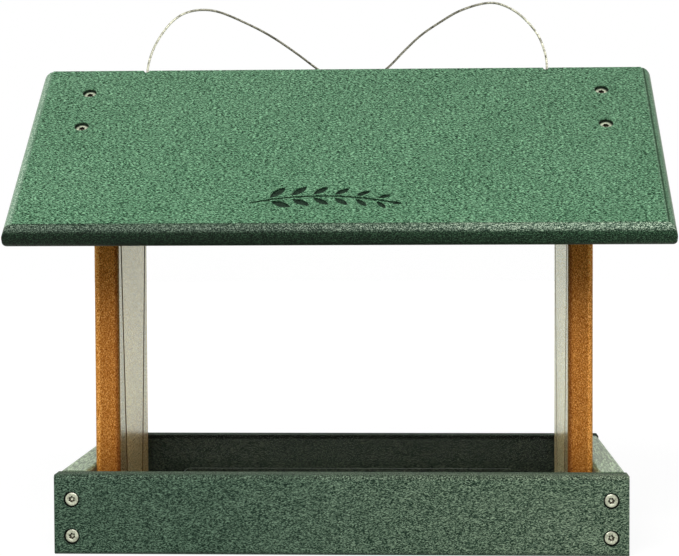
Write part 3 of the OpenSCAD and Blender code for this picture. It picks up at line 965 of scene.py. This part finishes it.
def metalMaterial(name, look):
    material, tree, shader = newMaterial(name)
    place = addNode(tree, "ShaderNodeTexCoord").outputs["Object"]
    specks = noiseAt(tree, place, look["speck"], 4.0, 0.65)
    colour = colourRamp(tree, specks[0], [(0.35, look["dark"]), (0.6, look["light"])])
    if "endHighlight" in look:
        # duller in the middle of the ridge, brighter towards the ridge holes: painted shade and painted
        # highlight
        apart = addNode(tree, "ShaderNodeSeparateXYZ", None, Vector=place).outputs
        ends = softStep(tree, eitherSide(tree, apart[0]), *look["endsFrom"])
        tone = mixColours(tree, ends, look["middleShade"], look["endHighlight"])
        colour = mixColours(tree, 1.0, colour, tone, "MULTIPLY")
    tree.links.new(colour, shader.inputs["Base Color"])
    shader.inputs["Metallic"].default_value = 1.0
    fine = noiseAt(tree, place, look["speck"] / 5, 2.0, 0.6)
    tree.links.new(softStep(tree, fine[0], 0.35, 0.65, *look["rough"]), shader.inputs["Roughness"])
    setBump(tree, shader, fine[0], scratches["depth"], scratches["strength"])
    return material


def coat(pieces, *materials):
    for piece in pieces:
        for material in materials:
            piece.data.materials.append(material)


socketShadeMetal = metalMaterial("screwSocketShade", screwSocketShade)
coat(trayScrews, metalMaterial("screwSteel", screwSteel), socketShadeMetal)
coat(roofScrews, metalMaterial("roofScrewSteelPaintedLight", roofScrewSteelPaintedLight), socketShadeMetal)
coat([cableLoops, leftCableTail, rightCableTail], metalMaterial("ropeSteel", ropeSteel))
coat(eyePieces, metalMaterial("eyeSteel", eyeSteel))
coat(sleevePieces, metalMaterial("sleeveMetal", sleeveMetal))
print("metal finished")


# Studio: pale floor, white surroundings, soft light from the front and above

studio = {
    "floorSize": 8.0,
    "floorColour": (0.2, 0.2, 0.2, 1),
    "floorRough": 0.9,
    "floorLift": 0.88,  # glow that only the camera, mirrors and glass see, so that the floor reads white
    "farLift": 1.0,
    "liftFrom": (0.35, 1.2),  # distance from the middle over which one lift turns into the other
    "fill": 0.46,
    "openColour": (1, 1, 1, 1),
    "mirrorColour": (0.95, 1.0, 0.9, 1),  # what mirrored rays see of the floor and the surroundings
    "keyPower": 15.0,
    "keySize": (0.9, 0.85),
    "keyPlace": (-0.12, -1.32, 0.98),
    "aim": (0.0, 0.0, 0.15),
}


def backdropRays(tree):
    # the colour of the backdrop, and 1 for the rays that see it: camera, mirrored and through glass
    rays = addNode(tree, "ShaderNodeLightPath").outputs
    mirrored = reckon(tree, "MINIMUM", rays["Glossy Depth"], 1.0)
    colour = mixColours(tree, mirrored, studio["openColour"], studio["mirrorColour"])
    seen = reckon(tree, "MAXIMUM", rays["Is Camera Ray"], rays["Is Glossy Ray"])
    return colour, reckon(tree, "MAXIMUM", seen, rays["Is Transmission Ray"])


def addFloor():
    half = studio["floorSize"] / 2
    corners = [(-half, -half, 0), (half, -half, 0), (half, half, 0), (-half, half, 0)]
    floor = addPiece("studioFloor", corners, [(0, 1, 2, 3)])
    material, tree, shader = newMaterial("floorWhite")
    shader.inputs["Base Color"].default_value = studio["floorColour"]
    shader.inputs["Roughness"].default_value = studio["floorRough"]
    shader.inputs["Specular IOR Level"].default_value = 0.0
    colour, seen = backdropRays(tree)
    tree.links.new(colour, shader.inputs["Emission Color"])
    place = addNode(tree, "ShaderNodeTexCoord").outputs["Object"]
    away = addNode(tree, "ShaderNodeVectorMath", {"operation": "LENGTH"}, n0=place).outputs["Value"]
    lift = softStep(tree, away, *studio["liftFrom"], studio["floorLift"], studio["farLift"])
    tree.links.new(reckon(tree, "MULTIPLY", seen, lift), shader.inputs["Emission Strength"])
    coat([floor], material)


def addWorld():
    world = bpy.data.worlds.new("studioWorld")
    bpy.context.scene.world = world
    world.use_nodes = True
    tree = world.node_tree
    backdrop = tree.nodes["Background"]
    colour, seen = backdropRays(tree)
    tree.links.new(colour, backdrop.inputs["Color"])
    tree.links.new(mixNumbers(tree, seen, studio["fill"], 1.0), backdrop.inputs["Strength"])


def addKeyLight():
    lamp = bpy.data.lights.new("keySoftbox", "AREA")
    lamp.shape = "RECTANGLE"
    lamp.size, lamp.size_y = studio["keySize"]
    lamp.energy = studio["keyPower"]
    box = bpy.data.objects.new("keySoftbox", lamp)
    bpy.context.scene.collection.objects.link(box)
    box.location = studio["keyPlace"]
    aim = Vector(studio["aim"]) - box.location
    box.rotation_euler = aim.to_track_quat("-Z", "Y").to_euler()


addFloor()
addWorld()
addKeyLight()
bpy.context.scene.view_settings.view_transform = "Standard"
print("studio lit")
